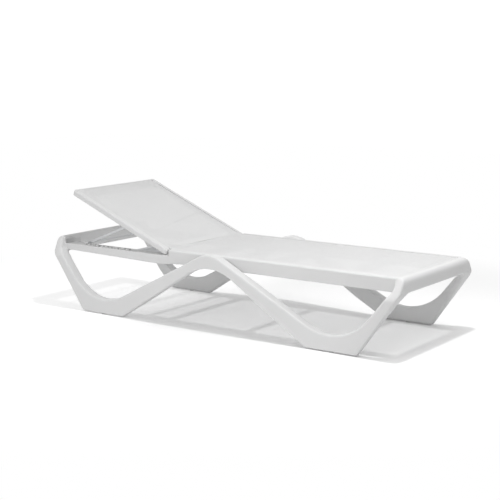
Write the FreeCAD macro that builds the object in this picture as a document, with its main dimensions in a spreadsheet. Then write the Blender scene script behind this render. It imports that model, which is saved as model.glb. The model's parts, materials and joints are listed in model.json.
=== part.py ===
"""A reclining sun lounger of moulded resin with a sling of woven mesh, as a parametric document.

Frame: millimetres, +Z up, the floor at Z = 0, the origin under the middle of the lounger. +X points to the
foot end, so the head lies at -X, and the right-hand side of somebody lying on it is -Y. Everything that turns
with the backrest is drawn lying flat and is then swung up about the hinge to the angle of its first notch.
"""
import FreeCAD, Part
import math
import os

import Sketcher

Vector = FreeCAD.Vector
doc = FreeCAD.newDocument("SunLounger")
sheet = doc.addObject("Spreadsheet::Sheet", "Params")

DRIVING = [
    # the whole lounger
    ("half_width", 360.0), ("half_length", 960.0), ("seat_top", 345.0), ("head_top", 352.0),
    # the wave-shaped side frames
    ("wave_inner", 308.0), ("peak_top", 369.0), ("peak_under", 329.0), ("foot_inner", 516.0),
    ("foot_outer", 768.0), ("valley_x", 694.0), ("valley_z", 10.7), ("peak_round", 130.0),
    ("arch_round", 225.0), ("valley_round", 245.0), ("edge_round", 9.0), ("foot_lift", 2.0),
    ("nose_z", 277.0), ("rail_face_x", 921.0),
    ("rail_face_z", 294.0), ("block_inner", 200.0), ("rail_under", 277.0), ("lean_start", 258.0),
    ("lean_end_y", 293.0), ("lean_end_z", 360.0), ("sole_inner", 332.0), ("draft_top", 100.0),
    ("band_inner", 325.0), ("gusset_mid_y", 321.0), ("gusset_mid_z", 150.0),
    ("gusset_top_y", 288.0), ("face_round", 60.0), ("nose_round", 26.0), ("crown_round", 24.0),
    ("gusset_round", 50.0), ("gusset_start", 700.0),
    ("leg_inner", 326.0), ("thin_from", 520.0), ("thin_to", 700.0), ("lean_from", 865.0),
    ("head_leg_inner", 300.0), ("head_lean_start", 262.0), ("head_lean_y", 316.0),
    # the seat's side rails, which run on past the hinge as low ledges
    ("seat_rail_width", 58.0), ("seat_under", 282.0), ("ledge_top", 316.0), ("ledge_dip", 272.0),
    ("ledge_dip_x", 335.0), ("ledge_end_under", 286.0), ("ledge_rise_x", 205.0),
    # where the sling lies
    ("sling_half", 280.0), ("sling_rebate", 2.0), ("sling_thick", 1.4), ("groove_wide", 6.0),
    ("groove_deep", 9.0), ("keder_radius", 2.1),
    # the hinge
    ("hinge_x", 285.0), ("hinge_z", 326.5), ("recline", 22.5), ("seat_gap", 18.0), ("knuckle_radius", 10.0),
    ("bush_radius", 6.0), ("pin_radius", 4.0), ("running_gap", 0.05),
    ("plate_thick", 6.0), ("plate_long", 60.0),
    # the backrest
    ("back_tip", 917.0), ("back_half", 306.0), ("lip_wide", 14.0), ("lip_under", 316.9),
    ("back_plate_under", 333.0), ("back_inner", 252.0), ("back_top_deep", 60.0), ("back_top_under", 325.0),
    # the stay that props the backrest
    ("stay_reach", 275.0), ("stay_bar_radius", 5.0), ("stay_bar_half", 290.0), ("arm_outer", 268.0),
    ("arm_wide", 10.0), ("arm_radius", 5.5), ("stay_pin_radius", 3.0), ("lug_radius", 6.4), ("lug_thick", 5.0),
    # the racks
    ("rack_inner", 277.0), ("rack_outer", 291.0), ("rack_seat", 312.0), ("tooth_tip", 321.1),
    ("tooth_root", 316.6), ("tooth_half", 7.5),
    # the beams under the seat
    ("beam_top", 318.0), ("beam_under", 288.0), ("beam_wide", 36.0), ("beam_head", 500.0),
    ("beam_middle", 202.0), ("beam_foot", 600.0), ("batten_wide", 26.0), ("batten_under", 322.0),
    # floor glides and screws
    ("glide_radius", 11.5), ("screw_radius", 2.0), ("screw_head", 4.0),
]


class Size:
    """A length that carries its value and the sheet formula that drives it."""

    def __init__(self, value, formula):
        self.value = value
        self.formula = formula

    def __neg__(self):
        return Size(-self.value, f"-({self.formula})")

    def __add__(self, other):
        other = as_size(other)
        return Size(self.value + other.value, f"({self.formula} + {other.formula})")

    def __sub__(self, other):
        other = as_size(other)
        return Size(self.value - other.value, f"({self.formula} - {other.formula})")

    def __mul__(self, factor):
        factor = as_size(factor)
        return Size(self.value * factor.value, f"({self.formula} * {factor.formula})")


def as_size(number):
    return number if isinstance(number, Size) else Size(float(number), f"{float(number):g}")


class Sizes:
    """The driving dimensions by name."""


P = Sizes()
for row, (alias, number) in enumerate(DRIVING, start=1):
    sheet.set(f"A{row}", alias)
    sheet.set(f"B{row}", f"{number:g}")
    sheet.setAlias(f"B{row}", alias)
    setattr(P, alias, Size(number, f"Params.{alias}"))
doc.recompute()

ZERO = as_size(0)
END_SLOPE = (P.half_length.value - P.foot_outer.value) / (P.nose_z.value - P.foot_lift.value)
RAIL_ALLOWANCE = 24.0
nodes = []


# ---- helpers: primitives, bodies and sketches whose sizes stay bound to the sheet ----

def bind(obj, prop, size):
    """Sets a property and ties it to its formula."""
    size = as_size(size)
    if "Params" in size.formula:
        obj.setExpression(prop, size.formula)
    elif "." not in prop:
        setattr(obj, prop, size.value)


def place(obj, x=0, y=0, z=0):
    """Puts an object at a place whose coordinates stay bound."""
    x, y, z = as_size(x), as_size(y), as_size(z)
    obj.Placement = FreeCAD.Placement(Vector(x.value, y.value, z.value), obj.Placement.Rotation)
    for axis, size in (("x", x), ("y", y), ("z", z)):
        bind(obj, f"Placement.Base.{axis}", size)


def box(name, x0, x1, y0, y1, z0, z1):
    """A block between two corners."""
    x0, x1, y0, y1, z0, z1 = (as_size(s) for s in (x0, x1, y0, y1, z0, z1))
    obj = doc.addObject("Part::Box", name)
    bind(obj, "Length", x1 - x0)
    bind(obj, "Width", y1 - y0)
    bind(obj, "Height", z1 - z0)
    place(obj, x0, y0, z0)
    return obj


def rod(name, radius, x, y0, y1, z):
    """A round bar along Y from y0 to y1."""
    y0, y1 = as_size(y0), as_size(y1)
    obj = doc.addObject("Part::Cylinder", name)
    bind(obj, "Radius", radius)
    bind(obj, "Height", y1 - y0)
    obj.Placement = FreeCAD.Placement(Vector(0, 0, 0), FreeCAD.Rotation(Vector(1, 0, 0), -90))
    place(obj, x, y0, z)
    return obj


def post(name, radius, x, y, z0, z1):
    """A round bar along Z from z0 to z1."""
    z0, z1 = as_size(z0), as_size(z1)
    obj = doc.addObject("Part::Cylinder", name)
    bind(obj, "Radius", radius)
    bind(obj, "Height", z1 - z0)
    place(obj, x, y, z0)
    return obj


def combine(kind, name, first, *others):
    """Fuses or cuts the others into or from the first."""
    made = first
    for number, other in enumerate(others):
        obj = doc.addObject(f"Part::{kind}", name if number == len(others) - 1 else f"{name}_step{number}")
        obj.Base = made
        obj.Tool = other
        made = obj
    doc.recompute()
    return made


def group(name, members):
    """Several separate solids kept as one part."""
    obj = doc.addObject("Part::Compound", name)
    obj.Links = members
    doc.recompute()
    return obj


def sketch_on(body, role, name, outline, offset=None):
    """A closed outline on one of the body's origin planes. Each corner is held by two bound distances."""
    sketch = body.newObject("Sketcher::SketchObject", name)
    plane = next(f for f in body.Origin.OriginFeatures if f.Role == role)
    sketch.AttachmentSupport = [(plane, "")]
    sketch.MapMode = "FlatFace"
    if offset is not None:
        sketch.AttachmentOffset = FreeCAD.Placement(Vector(0, 0, as_size(offset).value), FreeCAD.Rotation())
        bind(sketch, "AttachmentOffset.Base.z", offset)
    outline = [(as_size(u), as_size(v)) for u, v in outline]
    count = len(outline)
    for i, (u, v) in enumerate(outline):
        u2, v2 = outline[(i + 1) % count]
        sketch.addGeometry(Part.LineSegment(Vector(u.value, v.value, 0), Vector(u2.value, v2.value, 0)), False)
    for i in range(count):
        sketch.addConstraint(Sketcher.Constraint("Coincident", i, 2, (i + 1) % count, 1))
    for i, (u, v) in enumerate(outline):
        for kind, size, axis in (("DistanceX", u, -2), ("DistanceY", v, -1)):
            hold_corner(sketch, i, kind, size, axis)
    return sketch


def hold_corner(sketch, corner, kind, size, axis):
    """One coordinate of one corner of a sketch, measured from the sketch's origin."""
    if abs(size.value) < 1e-9:
        sketch.addConstraint(Sketcher.Constraint("PointOnObject", corner, 1, axis))
        return
    ends = (-1, 1, corner, 1) if size.value > 0 else (corner, 1, -1, 1)
    index = sketch.addConstraint(Sketcher.Constraint(kind, *ends, abs(size.value)))
    if "Params" in size.formula:
        sketch.setExpression(f"Constraints[{index}]", size.formula if size.value > 0 else (-size).formula)


def new_body(name):
    return doc.addObject("PartDesign::Body", name)


def pad(body, sketch, length, midplane=False, reverse=False):
    feature = body.newObject("PartDesign::Pad", f"{sketch.Name}_pad")
    feature.Profile = sketch
    feature.SideType = "Symmetric" if midplane else "One side"
    feature.Reversed = reverse
    bind(feature, "Length", length)
    sketch.Visibility = False
    doc.recompute()
    return feature


def pocket(body, sketch, length, midplane=False, reverse=False):
    """Cuts, and makes sure that it took something away."""
    before = body.Shape.Volume
    feature = body.newObject("PartDesign::Pocket", f"{sketch.Name}_pocket")
    feature.Profile = sketch
    feature.SideType = "Symmetric" if midplane else "One side"
    feature.Reversed = reverse
    bind(feature, "Length", length)
    doc.recompute()
    if body.Shape.Volume > before - 1:
        raise RuntimeError(f"{sketch.Name} cuts nothing")
    return feature


def round_edges(body, name, radius, wanted):
    """A fillet on every edge of the body for which wanted(edge) is true."""
    tip = body.Tip
    names = [f"Edge{i + 1}" for i, edge in enumerate(tip.Shape.Edges) if wanted(edge)]
    if not names:
        raise RuntimeError(f"{name}: no edge to round")
    feature = body.newObject("PartDesign::Fillet", name)
    feature.Base = (tip, names)
    bind(feature, "Radius", radius)
    doc.recompute()
    return feature


def lies_at(edge, tolerance=0.6, **place_of):
    """True if both ends of an edge lie at the given x, y or z (sizes, or numbers; a minus sign is ignored)."""
    for point in (edge.Vertexes[0].Point, edge.Vertexes[-1].Point):
        for axis, size in place_of.items():
            if abs(abs(getattr(point, axis)) - abs(as_size(size).value)) > tolerance:
                return False
    return True


def runs_along(edge, axis):
    """True for a straight edge along x, y or z."""
    a, b = edge.Vertexes[0].Point, edge.Vertexes[-1].Point
    line = b - a
    return line.Length > 1 and abs(getattr(line, axis)) > 0.999 * line.Length


def keep(obj, label):
    """Names a finished part. Its label is its file's name."""
    obj.Label = label
    nodes.append(obj)
    return obj


def mirrored(obj, label):
    """A part of the left-hand side: the right-hand one mirrored in the XZ plane."""
    twin = doc.addObject("Part::Mirroring", label)
    twin.Source = obj
    twin.Normal = Vector(0, 1, 0)
    doc.recompute()
    return keep(twin, label)


# ---- the side frames: a wave with two feet, whose end legs run up into the corner blocks ----

def wave_outline():
    """The whole outline in the XZ plane, clockwise from the head-end corner."""
    top = [(ZERO, P.peak_top)]
    under = [(ZERO, P.peak_under)]
    head_half = [(-x, z) for x, z in reversed(half_wave(P.head_top))]
    return top + half_wave(P.seat_top) + under + head_half


def half_wave(end_top):
    """The outline from the peak, down one valley, up the end leg to its top and back to the foot."""
    return [
        (P.valley_x, P.valley_z),
        (P.rail_face_x, P.rail_face_z),
        (P.rail_face_x, end_top),
        (P.half_length, end_top),
        (P.half_length, P.nose_z),
        (P.foot_outer, P.foot_lift),
        (P.foot_inner, P.foot_lift),
    ]


def side_frame():
    body = new_body("RightSideFrame")
    outline = sketch_on(body, "XZ_Plane", "WaveOutline", wave_outline(), offset=P.block_inner)
    pad(body, outline, P.half_width - P.block_inner)
    corner = [
        ("PeakRound", P.peak_round, dict(x=ZERO, z=P.peak_top)),
        ("ArchRound", P.arch_round, dict(x=ZERO, z=P.peak_under)),
        ("ValleyRound", P.valley_round, dict(x=P.valley_x, z=P.valley_z)),
        ("NoseRound", P.nose_round, dict(x=P.half_length, z=P.nose_z)),
        ("CrownRound", P.crown_round, dict(x=P.half_length, z=P.seat_top)),
        ("HeadCrownRound", P.crown_round, dict(x=P.half_length, z=P.head_top)),
        ("FaceRound", P.face_round, dict(x=P.rail_face_x, z=P.rail_face_z)),
        ("ToeRound", as_size(8), dict(x=P.foot_outer, z=P.foot_lift)),
        ("HeelRound", as_size(20), dict(x=P.foot_inner, z=P.foot_lift)),
    ]
    for name, radius, where in corner:
        round_edges(body, name, radius, lambda e: runs_along(e, "y") and lies_at(e, **where))
    lean = sketch_on(
        body, "YZ_Plane", "OuterLean",
        [(-P.half_width - 5, P.lean_start), (-P.half_width, P.lean_start),
         (-P.lean_end_y, P.lean_end_z), (-P.half_width - 5, P.lean_end_z)],
        offset=P.lean_from,
    )
    pocket(body, lean, 200, reverse=True)
    lean_head = sketch_on(
        body, "YZ_Plane", "OuterLeanHead",
        [(-P.half_width - 5, P.head_lean_start), (-P.half_width, P.head_lean_start),
         (-P.head_lean_y, P.lean_end_z), (-P.half_width - 5, P.lean_end_z)],
        offset=-P.lean_from,
    )
    pocket(body, lean_head, 200)
    middle = sketch_on(
        body, "YZ_Plane", "WaveInside",
        [(-P.sole_inner, -5), (-P.sole_inner, P.foot_lift), (-P.wave_inner, P.draft_top),
         (-P.wave_inner, P.peak_top + 5), (-P.block_inner + 5, P.peak_top + 5), (-P.block_inner + 5, -5)],
    )
    pocket(body, middle, P.gusset_start * 2, midplane=True)
    to_the_end = P.half_length - P.gusset_start + 10
    gusset = sketch_on(
        body, "YZ_Plane", "GussetInside",
        [(-P.sole_inner, -5), (-P.sole_inner, P.foot_lift), (-P.band_inner, P.draft_top),
         (-P.gusset_mid_y, P.gusset_mid_z), (-P.gusset_top_y, P.rail_under),
         (-P.block_inner + 5, P.rail_under), (-P.block_inner + 5, -5)],
        offset=P.gusset_start,
    )
    pocket(body, gusset, to_the_end, reverse=True)
    head_leg = sketch_on(
        body, "YZ_Plane", "HeadLegInside",
        [(-P.sole_inner, -5), (-P.sole_inner, P.foot_lift), (-P.wave_inner, P.draft_top),
         (-P.head_leg_inner, P.rail_under), (-P.block_inner + 5, P.rail_under), (-P.block_inner + 5, -5)],
        offset=-P.gusset_start,
    )
    pocket(body, head_leg, to_the_end)
    round_edges(body, "GussetRound", P.gusset_round,
                lambda e: lies_at(e, y=P.gusset_top_y, z=P.rail_under) and not runs_along(e, "y"))
    foot_thinning = combine("Common", "FootLegThinning", thinning_plan(), behind_the_band())
    return combine("Cut", "RightSideFrameThinned", body, foot_thinning)


def thinning_plan():
    """The inner side of the foot-end leg below the block, where the leg gets thinner than the wave."""
    body = new_body("FootLegPlan")
    beyond = P.half_length + 5
    plan = sketch_on(
        body, "XY_Plane", "FootLegPlanOutline",
        [(P.thin_from, -P.wave_inner), (P.thin_to, -P.leg_inner), (beyond, -P.leg_inner),
         (beyond, -P.block_inner + 5), (P.thin_from, -P.block_inner + 5)],
        offset=-5,
    )
    pad(body, plan, P.rail_under + 5)
    return body


def behind_the_band():
    """At the foot end a band along the end face is left, which widens inwards up to the block."""
    body = new_body("BehindTheBand")
    band = P.half_length - P.rail_face_x
    side = sketch_on(
        body, "XZ_Plane", "BehindTheBandOutline",
        [(P.thin_from - 5, -10), (P.foot_outer - band, -10), (P.foot_outer - band, P.foot_lift),
         (P.rail_face_x, P.nose_z), (P.rail_face_x, P.nose_z + 5), (P.thin_from - 5, P.nose_z + 5)],
        offset=P.block_inner - 20,
    )
    pad(body, side, P.half_width - P.block_inner + 20)
    return body


# ---- the cross rails between the corner blocks ----

def cross_rail(name, top):
    body = new_body(name)
    section = sketch_on(
        body, "XZ_Plane", f"{name}Section",
        [(P.rail_face_x, P.rail_face_z), (P.rail_face_x, top), (P.half_length, top),
         (P.half_length, P.nose_z), (P.half_length - RAIL_ALLOWANCE * END_SLOPE, P.nose_z - RAIL_ALLOWANCE),
         (P.rail_face_x - RAIL_ALLOWANCE * 1.5, P.nose_z - RAIL_ALLOWANCE)],
        offset=-P.block_inner,
    )
    pad(body, section, P.block_inner * 2)
    for label, radius, where in (
        ("Crown", P.crown_round, dict(x=P.half_length, z=top)),
        ("Nose", P.nose_round, dict(x=P.half_length, z=P.nose_z)),
        ("Face", P.face_round, dict(x=P.rail_face_x, z=P.rail_face_z)),
    ):
        round_edges(body, f"{name}{label}", radius, lambda e: runs_along(e, "y") and lies_at(e, **where))
    underside = sketch_on(
        body, "XZ_Plane", f"{name}Underside",
        [(P.rail_face_x - 50, P.rail_under - 50), (P.half_length + 10, P.rail_under - 50),
         (P.half_length + 10, P.rail_under), (P.rail_face_x - 50, P.rail_under)],
        offset=-P.block_inner - 1,
    )
    pocket(body, underside, P.block_inner * 2 + 2, reverse=True)
    return body


# ---- the seat rails ----

def seat_rail():
    """The right-hand rail: full height under the seat, and a low ledge under the backrest."""
    body = new_body("RightSeatRail")
    gap_x = P.hinge_x - P.seat_gap
    inner = P.wave_inner - P.seat_rail_width
    outline = sketch_on(
        body, "XZ_Plane", "RailOutline",
        [(P.rail_face_x, P.seat_top), (-gap_x, P.seat_top), (-gap_x, P.ledge_top), (-P.rail_face_x, P.ledge_top),
         (-P.rail_face_x, P.ledge_end_under), (-P.ledge_dip_x, P.ledge_dip), (-P.ledge_rise_x, P.seat_under),
         (P.rail_face_x, P.seat_under)],
        offset=inner,
    )
    pad(body, outline, P.seat_rail_width)
    round_edges(body, "LedgeDipRound", 160,
                lambda e: runs_along(e, "y") and lies_at(e, x=P.ledge_dip_x, z=P.ledge_dip))
    round_edges(body, "RailTopRound", P.edge_round,
                lambda e: lies_at(e, y=P.wave_inner, z=P.seat_top) and runs_along(e, "x"))
    round_edges(body, "LedgeTopRound", 4,
                lambda e: lies_at(e, y=P.wave_inner, z=P.ledge_top) and runs_along(e, "x"))
    round_edges(body, "RailUnderRound", 5,
                lambda e: lies_at(e, y=P.wave_inner) and edge_under(e, P.seat_under.value + 6))
    rebate = sketch_on(
        body, "YZ_Plane", "SlingRebate",
        [(-P.sling_half, P.seat_top + 5), (-P.sling_half, P.seat_top - P.groove_deep),
         (-P.sling_half + P.groove_wide, P.seat_top - P.groove_deep),
         (-P.sling_half + P.groove_wide, P.seat_top - P.sling_rebate),
         (-inner + 5, P.seat_top - P.sling_rebate), (-inner + 5, P.seat_top + 5)],
        offset=-gap_x - 5,
    )
    pocket(body, rebate, P.rail_face_x * 2, reverse=True)
    rack_bed = sketch_on(
        body, "YZ_Plane", "RackBed",
        [(-P.rack_outer, P.ledge_top + 5), (-P.rack_outer, P.rack_seat), (-P.rack_inner, P.rack_seat),
         (-P.rack_inner, P.ledge_top + 5)],
        offset=-(P.hinge_x + P.stay_reach * 1.9),
    )
    pocket(body, rack_bed, P.stay_reach * 1.1, reverse=True)
    return body


def edge_under(edge, height):
    """True if an edge lies wholly below a height."""
    return max(v.Point.z for v in edge.Vertexes) < height


# ---- the racks ----

NOTCH_ANGLES = (22.5, 34.0, 44.0, 51.0, 56.5, 61.5)


def rack():
    """A toothed strip in the ledge. The stay's bar rides over its teeth, and a notch holds it at each angle."""
    start = P.hinge_x + P.stay_reach * 1.9
    end = P.hinge_x + P.stay_reach * 0.8
    strip = box("RackStrip", -start, -end, -P.rack_outer, -P.rack_inner, P.rack_seat, P.tooth_tip)
    reach = P.stay_reach.value * 2
    notches = []
    for number, angle in enumerate(NOTCH_ANGLES):
        middle = -(P.hinge_x.value + reach * math.cos(math.radians(angle)))
        half = P.tooth_half.value
        notches.append((middle - half, middle + half))
    kept = [(-start.value, notches[0][0])]
    kept += [(notches[i][1], notches[i + 1][0]) for i in range(len(notches) - 1)]
    kept += [(notches[-1][1], -end.value)]
    cutters = [
        box(f"Notch{number}", low, high, -P.rack_outer - 1, -P.rack_inner + 1, P.tooth_root, P.tooth_tip + 1)
        for number, (low, high) in enumerate(notches)
    ]
    tooth_long = 13.0
    for number, (low, high) in enumerate(kept):
        if high - low > tooth_long * 2:
            cutters.append(box(f"Trough{number}", low + tooth_long if number else low,
                               high - tooth_long if number < len(kept) - 1 else high,
                               -P.rack_outer - 1, -P.rack_inner + 1, P.ledge_top - 1, P.tooth_tip + 1))
    return combine("Cut", "RightRack", strip, *cutters)


# ---- screws ----

RACK_SCREW_SHARES = (0.88, 1.29)
PLATE_SCREW_SHARES = (0.5, 0.85)


def screw_down(name, x, y, z_head):
    """A countersunk screw whose flat head is flush at one height."""
    shank = post(f"{name}Shank", P.screw_radius, x, y, z_head - 12, z_head)
    head = post(f"{name}Head", P.screw_head, x, y, z_head - 1.5, z_head)
    return combine("Fuse", name, shank, head)


def screw_across(name, x, z):
    """A screw through the right-hand hinge plate into the seat rail."""
    inner = P.wave_inner - P.seat_rail_width
    shank = rod(f"{name}Shank", P.screw_radius, x, -inner - 14, -inner + P.plate_thick, z)
    head = rod(f"{name}Head", P.screw_head, x, -inner + P.plate_thick, -inner + P.plate_thick + 2.5, z)
    return combine("Fuse", name, shank, head)


def both_sides(name, right_group):
    """A group of right-hand screws together with their mirror images."""
    twin = doc.addObject("Part::Mirroring", f"{name}Twin")
    twin.Source = right_group
    twin.Normal = Vector(0, 1, 0)
    return group(name, [right_group, twin])


# ---- beams and battens across the seat ----

def beam(name, x_middle, wide, under, top, inner):
    """A rounded bar of rectangular section across the lounger, between the inner faces of the rails."""
    body = new_body(name)
    x_middle = as_size(x_middle)
    half = as_size(wide) * 0.5
    section = sketch_on(
        body, "XZ_Plane", f"{name}Section",
        [(x_middle - half, under), (x_middle + half, under), (x_middle + half, top), (x_middle - half, top)],
        offset=-inner,
    )
    pad(body, section, as_size(inner) * 2)
    round_edges(body, f"{name}Round", 4, lambda e: runs_along(e, "y"))
    return keep(body, name)


# ---- the backrest, drawn flat ----

def back_side_rail():
    """The right-hand rail: a flat plate under the sling, a deep outer lip, and a knuckle at the hinge."""
    body = new_body("RightBackRailFlat")
    lip_in = P.back_half - P.lip_wide
    section = sketch_on(
        body, "YZ_Plane", "BackRailSection",
        [(-P.back_half, P.seat_top), (-P.back_half, P.lip_under), (-lip_in, P.lip_under),
         (-lip_in, P.back_plate_under), (-P.back_inner, P.back_plate_under),
         (-P.back_inner, P.seat_top - P.sling_rebate),
         (-P.sling_half + P.groove_wide, P.seat_top - P.sling_rebate),
         (-P.sling_half + P.groove_wide, P.seat_top - P.groove_deep),
         (-P.sling_half, P.seat_top - P.groove_deep),
         (-P.sling_half, P.seat_top)],
        offset=-(P.back_tip - P.back_top_deep),
    )
    pad(body, section, P.back_tip - P.back_top_deep - P.hinge_x)
    round_edges(body, "BackRailTopRound", P.edge_round,
                lambda e: lies_at(e, y=P.back_half, z=P.seat_top) and runs_along(e, "x"))
    round_edges(body, "BackRailLipRound", 6,
                lambda e: lies_at(e, y=P.back_half, z=P.lip_under) and runs_along(e, "x"))
    round_edges(body, "BackRailEndRound", 9,
                lambda e: lies_at(e, x=P.hinge_x, z=P.lip_under) and runs_along(e, "y"))
    knuckle = rod("BackKnuckle", P.knuckle_radius, -P.hinge_x, -lip_in, -P.back_inner, P.hinge_z)
    web = box("BackKnuckleWeb", -P.hinge_x - 26, -P.hinge_x, -lip_in, -P.back_inner,
              P.hinge_z - P.knuckle_radius + 2, P.back_plate_under)
    bore = rod("BackKnuckleBore", P.bush_radius, -P.hinge_x, -lip_in, -P.back_inner + 20, P.hinge_z)
    solid = combine("Fuse", "BackRailBlank", body, knuckle, web)
    return combine("Cut", "RightBackRailDrawn", solid, bore)


def back_top_rail():
    """The rail across the top of the backrest, with its rounded corners."""
    body = new_body("BackTopRailFlat")
    outline = sketch_on(
        body, "XY_Plane", "TopRailOutline",
        [(-P.back_tip, -P.back_half), (-P.back_tip + P.back_top_deep, -P.back_half),
         (-P.back_tip + P.back_top_deep, P.back_half), (-P.back_tip, P.back_half)],
        offset=P.lip_under,
    )
    pad(body, outline, P.seat_top - P.lip_under)
    round_edges(body, "TopRailCorners", 17,
                lambda e: runs_along(e, "z") and lies_at(e, x=P.back_tip, y=P.back_half))
    under = sketch_on(
        body, "XZ_Plane", "TopRailUnder",
        [(-P.back_tip + P.lip_wide, P.lip_under - 1), (-P.back_tip + P.lip_wide, P.back_top_under),
         (-P.back_tip + P.back_top_deep + 1, P.back_top_under),
         (-P.back_tip + P.back_top_deep + 1, P.lip_under - 1)],
        offset=-(P.back_half - P.lip_wide),
    )
    pocket(body, under, (P.back_half - P.lip_wide) * 2, reverse=True)
    recess = sketch_on(
        body, "XY_Plane", "TopRailRebate",
        [(-P.back_tip + 12, -P.sling_half), (-P.back_tip + P.back_top_deep + 1, -P.sling_half),
         (-P.back_tip + P.back_top_deep + 1, P.sling_half), (-P.back_tip + 12, P.sling_half)],
        offset=P.seat_top,
    )
    pocket(body, recess, P.sling_rebate)
    groove = sketch_on(
        body, "XY_Plane", "TopRailGroove",
        [(-P.back_tip + 12, -P.sling_half), (-P.back_tip + 18, -P.sling_half),
         (-P.back_tip + 18, P.sling_half), (-P.back_tip + 12, P.sling_half)],
        offset=P.seat_top,
    )
    pocket(body, groove, P.groove_deep)
    round_edges(body, "TopRailTopRound", P.edge_round - 2, lambda e: outer_rim(e, P.seat_top.value))
    round_edges(body, "TopRailLipRound", 6, lambda e: outer_rim(e, P.lip_under.value))
    return body


def outer_rim(edge, height):
    """True for the edges round the outside of the backrest's top rail at one height."""
    for v in edge.Vertexes:
        p = v.Point
        on_side = abs(abs(p.y) - P.back_half.value) < 0.5
        on_tip = abs(p.x + P.back_tip.value) < 0.5
        if abs(p.z - height) > 0.1 or not (on_side or on_tip):
            return False
    return True


def stay_arm():
    """The right-hand arm of the stay, drawn flat: an eye on the backrest's pin and one round the cross bar."""
    arm_in = P.arm_outer - P.arm_wide
    pivot_x = -P.hinge_x - P.stay_reach
    bar_x = pivot_x - P.stay_reach
    shank = box("ArmShank", bar_x, pivot_x, -P.arm_outer, -arm_in, P.hinge_z - P.arm_radius + 0.5,
                P.hinge_z + P.arm_radius - 0.5)
    eye_back = rod("ArmEyeBack", P.arm_radius, pivot_x, -P.arm_outer, -arm_in, P.hinge_z)
    eye_bar = rod("ArmEyeBar", P.arm_radius + 0.5, bar_x, -P.arm_outer, -arm_in, P.hinge_z)
    solid = combine("Fuse", "ArmBlank", shank, eye_back, eye_bar)
    hole_radius = P.stay_pin_radius + P.running_gap
    hole_back = rod("ArmHoleBack", hole_radius, pivot_x, -P.arm_outer - 1, -arm_in + 1, P.hinge_z)
    hole_bar = rod("ArmHoleBar", P.stay_bar_radius, bar_x, -P.arm_outer - 1, -arm_in + 1, P.hinge_z)
    return combine("Cut", "RightStayArmDrawn", solid, hole_back, hole_bar)


def stay_lugs():
    """Two ears under the backrest's right rail that hold the stay's pin."""
    pivot_x = -P.hinge_x - P.stay_reach
    arm_in = P.arm_outer - P.arm_wide
    ears = []
    for name, near in (("Outer", -P.arm_outer - 1 - P.lug_thick), ("Inner", -arm_in + 1)):
        eye = rod(f"Lug{name}Eye", P.lug_radius, pivot_x, near, near + P.lug_thick, P.hinge_z)
        foot = box(f"Lug{name}Foot", pivot_x - P.lug_radius, pivot_x + P.lug_radius, near, near + P.lug_thick,
                   P.hinge_z, P.back_plate_under)
        hole = rod(f"Lug{name}Hole", P.stay_pin_radius, pivot_x, near - 1, near + P.lug_thick + 1, P.hinge_z)
        ears.append(combine("Cut", f"Lug{name}", combine("Fuse", f"Lug{name}Blank", eye, foot), hole))
    return group("RightStayLugsDrawn", ears)


def swung(obj, label, pivot_at_stay=False):
    """A part of the backrest or the stay, carried from flat to the resting angle."""
    doc.recompute()
    hinge = Vector(-P.hinge_x.value, 0, P.hinge_z.value)
    about_y = FreeCAD.Rotation(Vector(0, 1, 0), P.recline.value)
    raise_back = FreeCAD.Placement(Vector(), about_y, hinge)
    motion = raise_back
    if pivot_at_stay:
        pivot = Vector(-P.hinge_x.value - P.stay_reach.value, 0, P.hinge_z.value)
        fold = FreeCAD.Placement(Vector(), FreeCAD.Rotation(Vector(0, 1, 0), -2 * P.recline.value), pivot)
        motion = raise_back.multiply(fold)
    made = doc.addObject("Part::Feature", label)
    made.Shape = obj.Shape.copy()
    made.Placement = motion.multiply(obj.Placement)
    return keep(made, label)


def mirrored_drawing(obj):
    """The left-hand twin of a part that is still drawn flat."""
    twin = doc.addObject("Part::Mirroring", f"{obj.Name}Twin")
    twin.Source = obj
    twin.Normal = Vector(0, 1, 0)
    doc.recompute()
    return twin


def pair(obj, name, put, **options):
    """The right-hand and left-hand parts of one drawing."""
    put(obj, f"right_{name}", **options)
    put(mirrored_drawing(obj), f"left_{name}", **options)


# ---- everything in its place ----

right_side = keep(side_frame(), "right_side_frame")
mirrored(right_side, "left_side_frame")

foot_rail = keep(cross_rail("FootCrossRail", P.seat_top), "foot_cross_rail")
head_rail = cross_rail("HeadCrossRail", P.head_top)
head_rail.Placement = FreeCAD.Placement(Vector(), FreeCAD.Rotation(Vector(0, 0, 1), 180))
keep(head_rail, "head_cross_rail")

rack_screws = group("RightRackScrews", [
    screw_down(f"RackScrew{number}", -P.hinge_x - P.stay_reach * share, -(P.rack_inner + P.rack_outer) * 0.5,
               P.tooth_root)
    for number, share in enumerate(RACK_SCREW_SHARES)
])
plate_screws = group("RightHingePlateScrews", [
    screw_across(f"PlateScrew{number}", -P.hinge_x + P.plate_long * share, P.hinge_z)
    for number, share in enumerate(PLATE_SCREW_SHARES)
])
rail_blank = combine("Cut", "RightSeatRailTrimmed", seat_rail(), right_side)
right_rail = keep(combine("Cut", "RightSeatRailDrilled", rail_blank, rack_screws, plate_screws), "right_seat_rail")
mirrored(right_rail, "left_seat_rail")
right_rack = keep(combine("Cut", "RightRackDrilled", rack(), rack_screws), "right_rack")
mirrored(right_rack, "left_rack")
keep(both_sides("RackScrews", rack_screws), "rack_screws")
keep(both_sides("HingePlateScrews", plate_screws), "hinge_plate_screws")

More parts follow.
